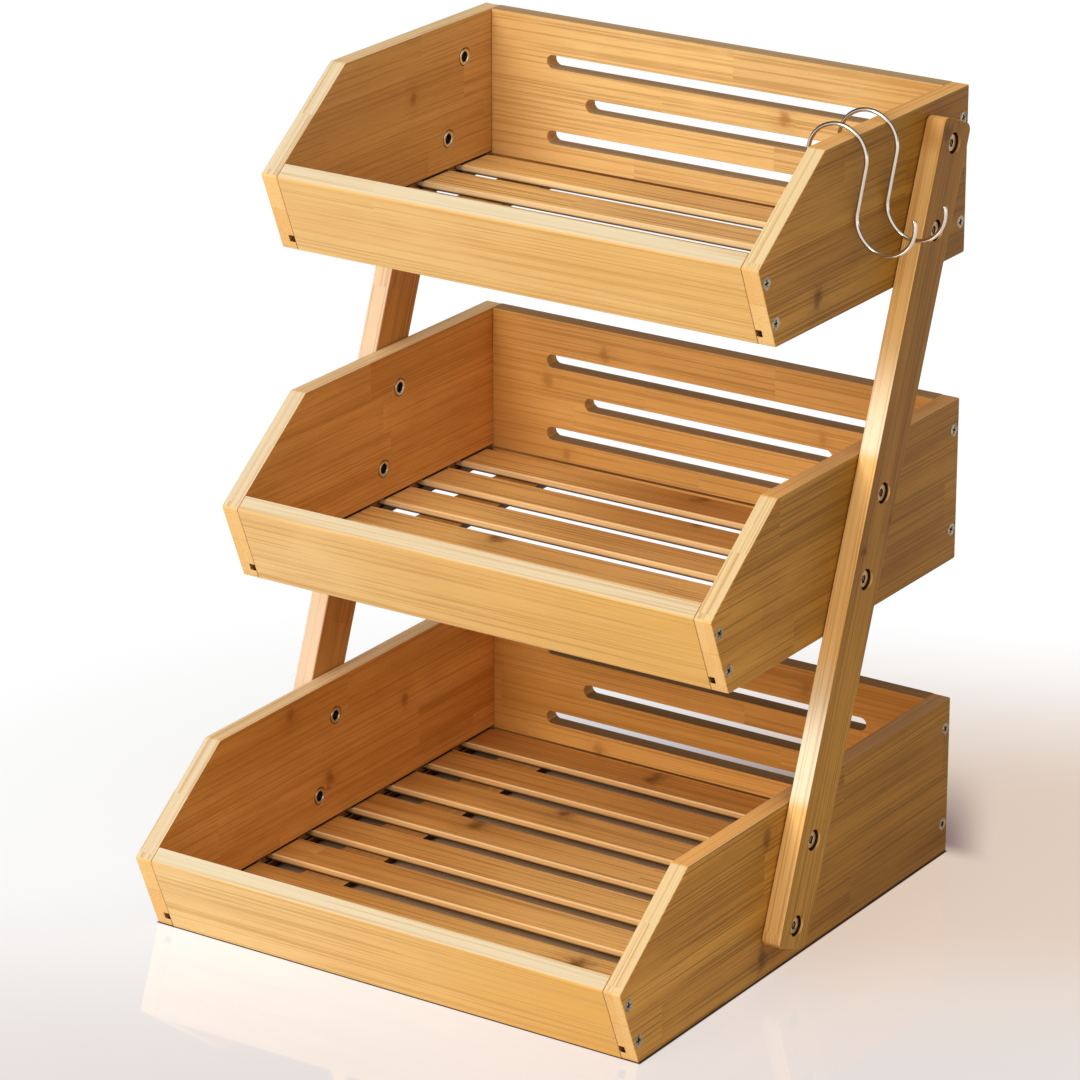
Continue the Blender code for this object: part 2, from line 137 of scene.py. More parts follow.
def roundEdges(piece, radius, steps, wanted):
    # rounds the edges whose two ends pass the test
    startEdit(piece)
    bpy.ops.mesh.select_mode(type="EDGE")
    bpy.ops.mesh.select_all(action="DESELECT")
    shape = bmesh.from_edit_mesh(piece.data)
    for edge in shape.edges:
        edge.select_set(wanted(edge.verts[0].co, edge.verts[1].co))
    bmesh.update_edit_mesh(piece.data)
    bpy.ops.mesh.bevel(offset=radius, segments=steps, profile=0.5, affect="EDGES", clamp_overlap=False)
    endEdit()


def easeEdges(piece, radiusOf, steps=3):
    # eases every sharp edge by its own radius, in one bevel, so that the corners close
    widest = 0.001
    shape = piece.data
    weights = shape.attributes.new("bevel_weight_edge", "FLOAT", "EDGE")
    for edge in shape.edges:
        ends = [shape.vertices[corner].co for corner in edge.vertices]
        weights.data[edge.index].value = radiusOf(*ends) / widest
    makeActive(piece)
    bevel = piece.modifiers.new("eased edges", "BEVEL")
    bevel.limit_method = "WEIGHT"
    bevel.width = widest
    bevel.segments = steps
    bevel.use_clamp_overlap = False
    bpy.ops.object.modifier_apply(modifier=bevel.name)
    shape = piece.data
    shape.attributes.remove(shape.attributes["bevel_weight_edge"])


def joined(pieces):
    makeActive(pieces[0])
    for piece in pieces:
        piece.select_set(True)
    bpy.ops.object.join()
    return pieces[0]


def scrap(*pieces):
    for piece in pieces:
        bpy.data.objects.remove(piece, do_unlink=True)


def cutOut(piece, cutters):
    cutter = joined(cutters)
    makeActive(piece)
    cut = piece.modifiers.new("cut", "BOOLEAN")
    cut.operation = "DIFFERENCE"
    cut.solver = "EXACT"
    cut.object = cutter
    bpy.ops.object.modifier_apply(modifier=cut.name)
    scrap(cutter)


def put(piece, place):
    piece.matrix_world = place
    makeActive(piece)
    bpy.ops.object.transform_apply(location=True, rotation=True, scale=True)


def copyOf(piece, name, place=Matrix.Identity(4)):
    twin = piece.copy()
    twin.data = piece.data.copy()
    twin.name = twin.data.name = name
    bpy.context.scene.collection.objects.link(twin)
    put(twin, place)
    return twin


def mirrored(piece, name):
    twin = copyOf(piece, name, Matrix.Scale(-1, 4, (1, 0, 0)))
    startEdit(twin)
    bpy.ops.mesh.normals_make_consistent(inside=False)
    endEdit()
    return twin


def evenShading(piece):
    makeActive(piece)
    bpy.ops.object.shade_smooth_by_angle(angle=math.radians(40))
    weighted = piece.modifiers.new("even shading", "WEIGHTED_NORMAL")
    weighted.keep_sharp = True
    weighted.weight = 90
    bpy.ops.object.modifier_apply(modifier=weighted.name)


def fit(piece, finish, body, *nodes):
    piece.data.materials.clear()
    piece.data.materials.append(finish)
    evenShading(piece)
    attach(piece, body)
    if nodes:
        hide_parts(*nodes)


def facing(side, place):
    # a frame whose Z points away from the stand on that side
    return Matrix.Translation(place) @ Matrix.Rotation(side * math.pi / 2, 4, "Y")


def boltDepth(height):
    return stand["firstBoltDepth"] - stand["boltSlope"] * (height - stand["boltInsets"][0])


# Shader maths

class Wire:
    # a socket that sums, differences, products and quotients can be written with
    def __init__(self, paint, socket):
        self.paint, self.socket = paint, socket

    def reckon(self, operation, *values):
        return self.paint.node("ShaderNodeMath", {"operation": operation}, dict(enumerate(values)))

    def __add__(self, other):
        return self.reckon("ADD", self, other)

    def __sub__(self, other):
        return self.reckon("SUBTRACT", self, other)

    def __rsub__(self, other):
        return self.reckon("SUBTRACT", other, self)

    def __mul__(self, other):
        return self.reckon("MULTIPLY", self, other)

    def __truediv__(self, other):
        return self.reckon("DIVIDE", self, other)

    __radd__ = __add__
    __rmul__ = __mul__

    def floor(self):
        return self.reckon("FLOOR", self)

    def size(self):
        return self.reckon("ABSOLUTE", self)

    def most(self, other):
        return self.reckon("MAXIMUM", self, other)

    def step(self, low, high):
        # 0 below low, 1 above high, smooth between; turned round where low is above high
        first, last = (0.0, 1.0) if low < high else (1.0, 0.0)
        sockets = {0: self, 1: min(low, high), 2: max(low, high), 3: first, 4: last}
        return self.paint.node("ShaderNodeMapRange", {"interpolation_type": "SMOOTHSTEP"}, sockets)

    def between(self, rising, falling):
        return self.step(*rising) * self.step(*falling)


class Paint:
    # the nodes of one material, or of the room's light
    def __init__(self, name, owner=None):
        self.owner = owner or bpy.data.materials.new(name)
        self.owner.use_nodes = True
        self.tree = self.owner.node_tree
        self.shader = self.tree.nodes.get("Principled BSDF")

    def feed(self, place, value):
        if isinstance(value, Wire):
            self.tree.links.new(value.socket, place)
        else:
            place.default_value = value

    def node(self, kind, settings=None, sockets=None, output=0):
        made = self.tree.nodes.new(kind)
        for key, value in (settings or {}).items():
            setattr(made, key, value)
        for key, value in (sockets or {}).items():
            self.feed(made.inputs[key], value)
        return Wire(self, made.outputs[output])

    def place(self, turn=(0, 0, 0)):
        spot = self.node("ShaderNodeTexCoord", output="Object")
        return self.node("ShaderNodeMapping", None, {"Vector": spot, "Rotation": turn})

    def facing(self, turn=(0, 0, 0)):
        # the surface's own direction, turned as the pattern is
        way = self.node("ShaderNodeTexCoord", output="Normal")
        return self.node("ShaderNodeMapping", {"vector_type": "NORMAL"}, {"Vector": way, "Rotation": turn})

    def parts(self, vector):
        return [self.node("ShaderNodeSeparateXYZ", None, {0: vector}, axis) for axis in "XYZ"]

    def vector(self, x, y, z):
        return self.node("ShaderNodeCombineXYZ", None, {0: x, 1: y, 2: z})

    def noise(self, vector, detail=2.0, rough=0.5, scale=1.0):
        sockets = {"Vector": vector, "Scale": scale, "Detail": detail, "Roughness": rough}
        return self.node("ShaderNodeTexNoise", None, sockets)

    def dice(self, vector, output="Value"):
        return self.node("ShaderNodeTexWhiteNoise", {"noise_dimensions": "3D"}, {"Vector": vector}, output)

    def mix(self, share, first, last):
        settings = {"data_type": "RGBA", "clamp_factor": True}
        first, last = (colour if isinstance(colour, Wire) else (*colour, 1) for colour in (first, last))
        return self.node("ShaderNodeMix", settings, {0: share, 6: first, 7: last}, 2)

    def bump(self, height, distance, strength=1.0):
        sockets = {"Strength": strength, "Distance": distance, "Height": height}
        return self.node("ShaderNodeBump", None, sockets)

    def finish(self, **sockets):
        for key, value in sockets.items():
            self.feed(self.shader.inputs[key.replace("_", " ")], value)
        return self.owner


# Noises in the bamboo: repeats in a metre along and across the strip, detail, roughness
grain = {
    "cloud": (150.0, 190.0, 3.0, 0.6),
    "broad": (2.6, 105.0, 4.0, 0.62),
    "lines": (5.0, 700.0, 2.0, 0.5),
    "fibres": (40.0, 1900.0, 2.0, 0.6),
    "endDots": (55.0, 1300.0, 1.0, 0.5),
}
bamboo = {
    "glueLine": 0.00032,  # width over which a glue line fades out
    "brick": 0.185,  # usual length of one piece in a strip
    "roughness": 0.42,
    # bare wood in the groove; the other colours are painted shade: in the groove, below it, along the panels'
    # foot and over the slats, low on the slats' sides, at the back boards' foot and in the bolt holes
    "grooveWood": (0.52, 0.26, 0.09), "grooveShade": (0.03, 0.012, 0.006),
    "shadeBelowGroove": (0.1, 0.04, 0.015), "contactShade": (0.04, 0.014, 0.008),
    "slatSideShade": (0.06, 0.024, 0.01), "footShade": (0.16, 0.065, 0.018), "boltHole": (0.05, 0.022, 0.009),
    "border": 0.0002,  # width of a hard colour border, in metres
}
# Bands in metres: heights over a basket's foot, and x from the stand's middle
bands = {
    "groove": ((0.003, 0.0036), (0.0115, 0.0105)),
    "grooveDark": (0.0086, 0.009),
    "shadeBelowGroove": (0.0048, 0.0044),
    "overFloor": ((0.0094, 0.0096), (0.0103, 0.01)),
    "foot": (0.0016, 0.0008),
    "slatSideShade": (0.0066, 0.0052),
    "holeWidth": (0.0068, 0.0064),
    "holeReach": (0.008, 0.0072),
    "holeSides": ((0.151, 0.1512), (0.1608, 0.1602)),
}


class BoardPaint(Paint):
    # laminated bamboo: strips of short pieces with their own tone, fibre lines and a few knuckles
    def __init__(self, name, look):
        super().__init__(name)
        self.look = look
        turn = look.get("turn", (0, 0, 0))
        self.spot = self.parts(self.place(turn))
        self.way = self.parts(self.facing(turn))
        self.aside = self.spot[0].size()
        self.along, self.across, self.through = (self.spot[axis] for axis in look["axes"])
        self.wayAlong, self.wayAcross = (self.way[axis].size() for axis in look["axes"][:2])
        tiered = look.get("tiered", True)
        self.tier = (self.spot[2] / stand["pitch"] + 0.02).floor() if tiered else 0.0
        self.rise = self.across - self.tier * stand["pitch"] if look.get("stripsByHeight") else self.across

    def stain(self, share, tone):
        self.colour = self.mix(share, self.colour, tone)

    def drawnOut(self, kind, across, slide=0.0):
        # noise stretched along the strip
        long, short, detail, rough = grain[kind]
        spot = self.vector(self.along * long + slide, across * short, self.through * short)
        return self.noise(spot, detail, rough)

    def layStrips(self):
        # the strip and the ply that a point lies in, and its piece of that strip
        look = self.look
        strips = self.rise / look["strip"] + look["stripShift"]
        plies = self.through / look["ply"] + look.get("plyShift", 0.0)
        strip, ply = strips.floor(), plies.floor()

        def dealt(brick):
            return self.vector(strip + look["seed"], ply * 7.0 + brick + 0.5, self.tier * 13.0 + 0.25)

        self.start = self.dice(dealt(0.0))
        self.length = look.get("brick", bamboo["brick"])
        bricks = self.along / self.length + self.start * 7.3
        brick = bricks.floor()
        self.tone = self.dice(dealt(brick))
        self.chance = self.parts(self.dice(dealt(brick), "Color"))
        self.inBrick, self.inStrip, self.inPly = bricks - brick, strips - strip, plies - ply

    def growKnuckles(self):
        # in some of the pieces, a small ragged spot in a soft halo
        look, chance = self.look, self.chance
        self.cloud = self.drawnOut("cloud", self.across)
        offAlong = (self.inBrick - 0.25 - chance[0] * 0.5) * self.length
        offAcross = (self.inStrip - 0.3 - chance[1] * 0.4) * look["strip"]
        spread = (chance[2] * 0.0026 + 0.0016) * look.get("knotSize", 1.0)
        square = (offAlong * offAlong) / (spread * spread)
        square = square + (offAcross * offAcross) / (spread * spread * 1.9)
        distance = square.reckon("SQRT", square)
        free = look.get("knotFree", 0.55)
        has = (self.start + chance[2] * 0.6).step(free, free + 0.12)
        self.knot = (distance + (self.cloud - 0.5) * 2.6).step(1.7, 0.1) * has * look["knots"]
        self.halo = (distance + (self.cloud - 0.5) * 2.0).step(4.6, 0.6) * has

    def drawFibres(self):
        # bent round the knuckles and broken at each piece
        long, short = 16.0, 34.0
        patches = self.vector(self.along * long, self.across * short, self.through * short + self.start)
        self.patchy = self.noise(patches)
        bent = self.across + self.halo * (self.cloud - 0.5) * 0.0035
        self.slide = self.chance[1] * 3.0
        self.broad = self.drawnOut("broad", bent, self.slide)
        self.lines = self.drawnOut("lines", bent, self.slide)
        self.fibres = self.drawnOut("fibres", bent, self.slide)
        self.line = self.lines.step(0.5, 0.62) * self.patchy.step(0.15, 0.5)

    def outerTones(self, tones):
        # the outer faces take a duller brown, which changes towards the far end
        look = self.look
        self.outer = (self.way[0] * self.spot[0]).step(0.03, 0.09)
        pale, deep, dark, knotTone = (self.mix(self.outer, *pair) for pair in zip(tones, look["outer"]))
        farPale, farDeep, axis, first, last = look["outerFar"]
        far = self.outer * self.spot[axis].step(first, last)
        return self.mix(far, pale, farPale), self.mix(far, deep, farDeep), dark, knotTone

    def lightAndShadeSlats(self):
        # painted shade, browner at the back; painted sheen, paler at the right front and, higher up, at the
        # left
        look, (x, y), tier = self.look, self.spot[:2], self.tier
        self.stain(y.step(-0.15, -0.02) * (tier * (0.65 - tier * 0.35) + 0.3), look["rearShade"])
        frontRight = x.step(-0.1, 0.08) * y.step(-0.04, -0.14)
        self.stain(frontRight * (0.66 - tier * 0.25), look["paintedSheen"])
        self.stain(x.step(0.0, -0.1) * tier * (1.2 - tier * 0.44), look["paintedSheen"])

    def paintFaces(self):
        look, tier = self.look, self.tier
        tones = look["pale"], look["deep"], look["line"], look["knot"]
        lineShare = look["lines"]
        if "outer" in look:
            tones = self.outerTones(tones)
            lineShare = self.outer * (look["outerLines"] - lineShare) + lineShare
        pale, deep, dark, knotTone = tones
        shade = (self.tone - 0.5) * look["stripTone"] + (self.broad - 0.5) * look["broadTone"]
        shade = shade + (self.patchy - 0.5) * look["stainTone"] + 0.5
        self.colour = self.mix(shade, pale, deep)
        if "tierLightTone" in look:
            # painted light: the baskets are shifted tier by tier towards their own tone, for the light that
            # reaches each
            self.stain(tier * tier * look["tierLightShare"], look["tierLightTone"])
        if "innerHigh" in look:
            self.stain(tier * tier * 0.12 * (1.0 - self.outer), look["innerHigh"])
        if "warmRight" in look:
            self.stain(self.spot[0].step(-0.12, 0.14) * (0.9 - tier * 0.35), look["warmRight"])
        if "paintedSheen" in look:
            self.lightAndShadeSlats()
        self.stain(self.line * lineShare, dark)
        self.stain(self.fibres.step(0.46, 0.76) * look["fibres"], dark)
        self.stain(self.halo * (self.broad * 1.2) * look["knots"] * 0.4, knotTone)
        self.stain(self.knot, knotTone)

    def levelEdges(self, edgeTone):
        # level tops are browner than the sloping ones, partly their own tone and partly painted light that
        # the slopes catch; painted shade on the right-hand edges and level tops, and a painted shadow of the
        # basket above at the right rear
        look, (x, y) = self.look, self.spot[:2]
        right = x.step(-0.01, 0.01)
        rear = right * y.step(-0.2, -0.13) * (1.0 - self.tier * 0.5)
        edgeTone = self.mix(right * 0.2, edgeTone, look["edgeRightShade"])
        level = self.mix(right, look["level"], look["levelRightShade"])
        level = self.mix(rear, level, look["levelRearShadow"])
        return self.mix((self.wayAcross + rear * 0.3).step(0.86, 0.96) * 0.9, edgeTone, level)

    def litEdges(self, edgeTone):
        # painted light: the uprights' edges are painted cream where light falls between one basket and the
        # next, with a dimmer orange band of painted shade
        height = self.spot[2]
        share = self.parts(self.place())[2] / stand["pitch"]
        share = share - share.floor()
        left = self.spot[0].step(0.01, -0.01)
        lit, litLeft, dim = self.look["litEdge"]
        dimShare = share.between((0.53, 0.5), (0.36, 0.44)) * height.step(0.32, 0.38)
        edgeTone = self.mix(dimShare * (1.0 - left), edgeTone, dim)
        litShare = (share + left * 0.14).step(0.51, 0.56) * share.step(1.0, 0.7)
        litShare = litShare * height.step(0.3, 0.2).most(left * 0.9 + 0.15 * (1.0 - left))
        return self.mix(litShare, edgeTone, self.mix(left, lit, litLeft))

    def paintEdges(self):
        # the sawn edges have a tone of their own, partly painted light and shade: pale where they catch
        # light, dark on the back boards' shaded top edges and slot walls; the ends show the fibres cut across
        look = self.look
        self.edge = self.wayAcross.step(0.45, 0.8)
        sawn = self.noise(self.vector(self.along * 6.0 + self.slide, 0.5, self.through * 900.0))
        edgeTone = self.mix((sawn - 0.5) * 1.6 + 0.25, look["edge"], look["edgeDeep"])
        if "level" in look:
            edgeTone = self.levelEdges(edgeTone)
        # painted light: paler edges on the higher baskets
        if "edgeTierLight" in look:
            edgeTone = self.mix(self.tier * 0.4, edgeTone, look["edgeTierLight"])
        if "litEdge" in look:
            edgeTone = self.litEdges(edgeTone)
        edgeLine = sawn.step(0.52, 0.64) * look["edgeLines"]
        self.stain(self.edge * look["edgePale"], self.mix(edgeLine, edgeTone, look["line"]))
        self.end = self.wayAlong.step(0.55, 0.85)
        dots = self.drawnOut("endDots", self.across).step(0.5, 0.7)
        endTone = self.mix(self.tone * 0.35, look.get("end", look["pale"]), look["deep"])
        self.stain(self.end * 0.9, self.mix(dots * 0.22, endTone, look["line"]))

    def glue(self):
        # dark lines between the strips on the faces, and between the plies on the edges
        look = self.look
        fromJoint = (self.inStrip - 0.5).size() * -1.0 + 0.5
        self.joint = (fromJoint * look["strip"]).step(bamboo["glueLine"], 0.0) * (1.0 - self.edge)
        fromPly = ((self.inPly - 0.5).size() * -1.0 + 0.5) * look["ply"]
        plyJoint = fromPly.step(bamboo["glueLine"], 0.0) * self.edge
        self.stain(self.joint.most(plyJoint) * look["joints"], look["line"])

    def grooveWoodAndShade(self):
        # bare wood inside the groove, with painted shade above the slats and near its mouth; painted shade on
        # the panel's inner face below the groove, along its foot and just over the slats
        first, last = self.look["groove"]
        border = bamboo["border"]
        inside = self.aside.between((first, first + border), (last + border, last))
        inside = inside * self.rise.between(*bands["groove"]) * (1.0 - self.end)
        shaded = self.rise.step(*bands["grooveDark"]).most(self.aside.step(0.1434, 0.1424))
        self.stain(inside, self.mix(shaded, bamboo["grooveWood"], bamboo["grooveShade"]))
        inner = self.aside.step(first, first - border)
        self.stain(self.rise.step(*bands["shadeBelowGroove"]) * inner, bamboo["shadeBelowGroove"])
        contactShade = self.rise.step(*bands["foot"]).most(self.rise.between(*bands["overFloor"]))
        self.stain(contactShade * inner, bamboo["contactShade"])

    def slatArrisLightAndShade(self):
        # painted highlight on the slats' arrises, painted shade low on their sides
        self.stain(self.wayAcross.between((0.1, 0.4), (0.97, 0.75)) * 0.7, self.look["lip"])
        low = self.spot[2] - self.tier * stand["pitch"]
        self.stain(low.step(*bands["slatSideShade"]) * self.edge, bamboo["slatSideShade"])

    def footShade(self):
        # painted shade where the back board meets the rear slat
        low, high = self.look["footLine"]
        border = bamboo["border"]
        share = self.rise.between((high + border, high), (low - 2 * border, low))
        self.stain(share, bamboo["footShade"])

    def shadeBoardEnds(self):
        # painted shade, deepening towards the back boards' ends at the side panels
        self.stain(self.aside.step(0.07, 0.14) * 0.4 * (1.0 - self.edge), self.look["corner"])

    def tuckedEnds(self):
        # dark along the joint with the side panels: a dark joint line on the front boards, painted shade
        # where the slats' ends run into the groove
        first, upward, tone = self.look["tucked"]
        share = self.aside.step(first, first + bamboo["border"])
        self.stain(share * self.way[2].size().step(*upward), tone)

    def boltHoles(self):
        # no light comes into the holes; they lie in a row along the board
        line, first, last = self.look["boltLine"]
        far, near = bands["holeReach"]
        share = (self.across - line).size().step(*bands["holeWidth"])
        share = share * self.along.between((first - far, first - near), (last + far, last + near))
        self.stain(share * self.aside.between(*bands["holeSides"]), bamboo["boltHole"])

    def lacquered(self):
        # lacquer over open grain
        rough = bamboo["roughness"] + (self.lines - 0.5) * 0.18 + self.knot * 0.1 + (self.cloud - 0.5) * 0.08
        relief = self.line * -self.look["lineDepth"] + (self.fibres - 0.5) * 0.35
        relief = relief - self.joint * 0.8 + self.knot * 0.5
        return self.finish(
            Base_Color=self.colour,
            Roughness=rough,
            Specular_IOR_Level=self.look["gloss"],
            Normal=self.bump(relief, 0.00012, 0.55),
        )


def bambooFinish(name, look):
    paint = BoardPaint(name, look)
    paint.layStrips()
    paint.growKnuckles()
    paint.drawFibres()
    paint.paintFaces()
    paint.paintEdges()
    paint.glue()
    marks = {
        "groove": paint.grooveWoodAndShade, "lip": paint.slatArrisLightAndShade, "footLine": paint.footShade,
        "corner": paint.shadeBoardEnds, "tucked": paint.tuckedEnds, "boltLine": paint.boltHoles,
    }
    for mark, draw in marks.items():
        if mark in look:
            draw()
    return paint.lacquered()


def metalFinish(name, look):
    # plated or drawn metal: fine scratches, a little dulling, and painted shade, near black, where it sits
    # deep in the wood
    paint = Paint(name)
    spot = paint.place()
    x, y, z = paint.parts(spot)
    scratches = paint.noise(paint.vector(x * 5200.0, y * 700.0, z * 2600.0), rough=0.6)
    dull = paint.noise(spot, 3.0, 0.6, 260.0)
    colour = paint.mix(dull.step(0.35, 0.75) * look["dulling"], look["bright"], look["dull"])
    rough = look["roughness"] + (scratches - 0.5) * look["scratches"] + (dull - 0.5) * 0.06
    border = bamboo["border"]
    for shallow, deep in look.get("recessShade", ()):
        recessShade = x.size().between((shallow, shallow + border), (deep, deep - border))
        colour = paint.mix(recessShade, colour, (0.02, 0.015, 0.01))
        rough = rough + recessShade * 0.2
    return paint.finish(
        Base_Color=colour,
        Metallic=1.0,
        Roughness=rough,
        Normal=paint.bump(scratches, 0.00002, 0.4),
    )


# Wood tones, linear values; outer has the outer faces' own pale, deep, line and knot tones
woodTones = {
    "pale": (0.88, 0.57, 0.22), "deep": (0.7, 0.39, 0.115),
    "line": (0.38, 0.165, 0.038), "knot": (0.42, 0.18, 0.045),
    "edge": (0.67, 0.58, 0.41), "edgeDeep": (0.59, 0.43, 0.21),
    "stripTone": 0.7, "broadTone": 2.2, "stainTone": 0.8,
    "lines": 0.55, "lineDepth": 0.55, "fibres": 0.3, "knots": 0.75,
    "edgePale": 0.9, "edgeLines": 0.35, "joints": 0.3, "ply": 0.05, "gloss": 0.25,
}
frontLook = {
    **woodTones,
    "axes": (0, 2, 1), "strip": 0.0205, "stripShift": 0.36, "stripsByHeight": True, "seed": 11.0,
    "pale": (0.83, 0.58, 0.26), "deep": (0.7, 0.42, 0.145), "line": (0.54, 0.29, 0.082),
    "warmRight": (0.73, 0.39, 0.075), "tierLightTone": (0.6, 0.3, 0.05), "tierLightShare": 0.06,
    "lines": 0.62, "knotFree": 1.25, "broadTone": 1.0, "stripTone": 0.35, "brick": 0.9,
    "tucked": (0.1394, (0.98, 0.9), (0.42, 0.2, 0.06)),
}
backLook = {
    **woodTones,
    "axes": (0, 2, 1), "strip": 0.0225, "stripShift": 0.0, "stripsByHeight": True, "seed": 37.0,
    "pale": (0.79, 0.4, 0.105), "deep": (0.59, 0.27, 0.053), "corner": (0.6, 0.26, 0.045),
    "edge": (0.23, 0.13, 0.055), "edgeDeep": (0.17, 0.088, 0.034), "edgeTierLight": (0.5, 0.33, 0.17),
    "tierLightTone": (0.86, 0.67, 0.32), "tierLightShare": 0.125,
    "lines": 0.46, "gloss": 0.12, "knotFree": 0.75, "footLine": (0.0078, 0.0089),
}
sideLook = {
    **woodTones,
    "axes": (1, 2, 0), "strip": 0.0225, "stripShift": -0.06, "stripsByHeight": True, "seed": 71.0,
    "ply": 0.029, "pale": (0.9, 0.43, 0.105), "deep": (0.68, 0.28, 0.05),
    "line": (0.3, 0.1, 0.015), "knot": (0.36, 0.115, 0.02),
    "outer": ((0.74, 0.36, 0.064), (0.51, 0.225, 0.033), (0.16, 0.07, 0.013), (0.13, 0.058, 0.014)),
    "outerFar": ((0.46, 0.215, 0.032), (0.29, 0.122, 0.015), 1, -0.28, -0.06),
    "outerLines": 0.5,
    # painted shade on the right-hand level tops and edges, darker at the right rear as the painted shadow of
    # the basket above
    "level": (0.83, 0.58, 0.3), "levelRightShade": (0.86, 0.43, 0.12), "levelRearShadow": (0.36, 0.185, 0.075),
    "edgeRightShade": (0.9, 0.53, 0.03), "end": (0.84, 0.55, 0.22), "innerHigh": (0.45, 0.3, 0.12),
    "gloss": 0.1, "knotFree": 0.85, "lines": 0.28, "fibres": 0.36, "stripTone": 0.5,
    "groove": (0.1402, 0.1496),
}
slatLook = {
    **woodTones,
    "axes": (0, 1, 2), "strip": 0.0369, "stripShift": -0.05, "ply": 0.17, "plyShift": 0.02, "seed": 101.0,
    # painted shade: browner at the back of the floors; painted light: a sheen, a highlight on the arrises,
    # and paler edges and floors higher up
    "pale": (0.74, 0.37, 0.098), "deep": (0.54, 0.23, 0.048), "rearShade": (0.46, 0.18, 0.035),
    "edge": (0.9, 0.54, 0.22), "edgeDeep": (0.78, 0.42, 0.14), "edgeTierLight": (0.96, 0.74, 0.42),
    "paintedSheen": (1.0, 0.62, 0.21), "lip": (1.0, 0.72, 0.38), "tierLightTone": (0.96, 0.68, 0.32), "tierLightShare": 0.14,
    "line": (0.32, 0.13, 0.03), "knot": (0.17, 0.062, 0.013),
    "knots": 0.85, "knotSize": 1.5, "knotFree": 0.36,
    "edgePale": 0.7, "brick": 0.31, "stripTone": 0.35, "gloss": 0.15,
    "tucked": (0.14, (0.6, 0.9), (0.05, 0.02, 0.008)),
}
battenLook = {
    **woodTones,
    "axes": (1, 0, 2), "strip": 0.03, "stripShift": 0.3, "ply": 0.17, "plyShift": 0.02, "seed": 151.0,
    "pale": (0.52, 0.26, 0.076), "deep": (0.4, 0.18, 0.045), "fibres": 0.1,
    # painted shade: the battens' side faces, seen through the gaps under the slats, are near black
    "edge": (0.05, 0.02, 0.01), "edgeDeep": (0.03, 0.012, 0.006), "edgePale": 1.0,
}
firstBolt = Matrix.Rotation(upLean, 3, "X") @ at(0, stand["firstBoltDepth"], stand["boltInsets"][0])
boltRun = (stand["pitch"] * 2 + stand["boltInsets"][1] - stand["boltInsets"][0]) / math.cos(upLean)
uprightLook = {
    **woodTones,
    "axes": (2, 1, 0), "turn": (upLean, 0, 0), "tiered": False, "seed": 211.0,
    "strip": 0.0145, "stripShift": 0.1, "ply": 0.05, "plyShift": 0.5,
    "pale": (0.74, 0.36, 0.092), "deep": (0.54, 0.24, 0.05), "line": (0.34, 0.135, 0.026),
    "outer": ((0.64, 0.32, 0.056), (0.44, 0.205, 0.028), (0.16, 0.068, 0.012), (0.14, 0.06, 0.014)),
    "outerFar": ((0.43, 0.2, 0.034), (0.28, 0.12, 0.017), 2, 0.08, 0.18), "outerLines": 0.5,
    "edge": (1.0, 0.62, 0.225), "edgeDeep": (0.94, 0.46, 0.115),
    "litEdge": ((1.0, 0.85, 0.6), (0.77, 0.58, 0.4), (0.7, 0.35, 0.1)),
    "lineDepth": 0.0, "edgeLines": 0.3, "joints": 0.04, "gloss": 0.1, "stripTone": 0.25, "brick": 0.3,
    "boltLine": (firstBolt.y, firstBolt.z, firstBolt.z + boltRun),
}
frontWood = bambooFinish("bambooFront", frontLook)
backWood = bambooFinish("bambooBack", backLook)
sideWood = bambooFinish("bambooSide", sideLook)
slatWood = bambooFinish("bambooSlat", slatLook)
battenWood = bambooFinish("bambooBatten", battenLook)
uprightWood = bambooFinish("bambooUpright", uprightLook)

# Metal tones; where the metal sits deep in the wood, given as x from the stand's middle, it is painted near
# black as shade
plated = metalFinish("platedSteel", {
    "bright": (0.8, 0.75, 0.63), "dull": (0.42, 0.36, 0.26), "dulling": 0.6,
    "roughness": 0.24, "scratches": 0.16, "recessShade": ((0.1403, 0.1494),),
})
boltSteel = metalFinish("boltSteel", {
    "bright": (0.56, 0.42, 0.25), "dull": (0.3, 0.2, 0.1), "dulling": 0.8,
    "roughness": 0.34, "scratches": 0.2, "recessShade": ((0.1403, 0.1494), (0.1586, 0.15955)),
})
screwSteel = metalFinish("screwSteel", {
    "bright": (0.4, 0.345, 0.26), "dull": (0.085, 0.062, 0.038), "dulling": 0.9,
    "roughness": 0.28, "scratches": 0.2, "recessShade": ((0.1403, 0.14972),),
})
bareSteel = metalFinish("hookSteel", {
    "bright": (0.72, 0.68, 0.61), "dull": (0.52, 0.48, 0.41), "dulling": 0.35,
    "roughness": 0.1, "scratches": 0.08,
})
print("finishes mixed")


# Side panels

sidePanel = {
    "thickness": 0.01,
    "outerEase": 0.0008,
    "innerEase": 0.00015,
    "groove": (0.0045, 0.0097, 0.005),  # foot, top and depth of the slats' groove
    "frontGroove": (0.0047, 0.0086, 0.0036),  # the same where it runs out past the front board
    "nutHole": (0.0052, 0.0042, 0.0015, 0.0002),  # radii of pocket and hole, the pocket's depth and eased rim
    "screwHole": (0.0036, 0.0017),  # radii of the countersink and of the hole
    "frontScrews": (0.0125, 0.0355),
    "backScrews": (0.0175, 0.0733),
}
innerFace = stand["halfWidth"] - sidePanel["thickness"]
leanSlope = stand["overhang"] / stand["lip"]
frontBoard = {"thickness": 0.0092, "blank": 0.07, "ease": 0.0005, "endEase": 0.00012, "endGap": 0.00008}
frontRun = frontBoard["thickness"] * math.hypot(1, leanSlope)  # the board's thickness measured level
backBoard = {
    "thickness": 0.0095, "ease": 0.0006,
    "endEase": 0.0002,
    "slotHeight": 0.0074, "slotPitch": 0.0211,
    "slotHalves": (0.1037, 0.0788, 0.1037),
    "rimEase": 0.0004,
}


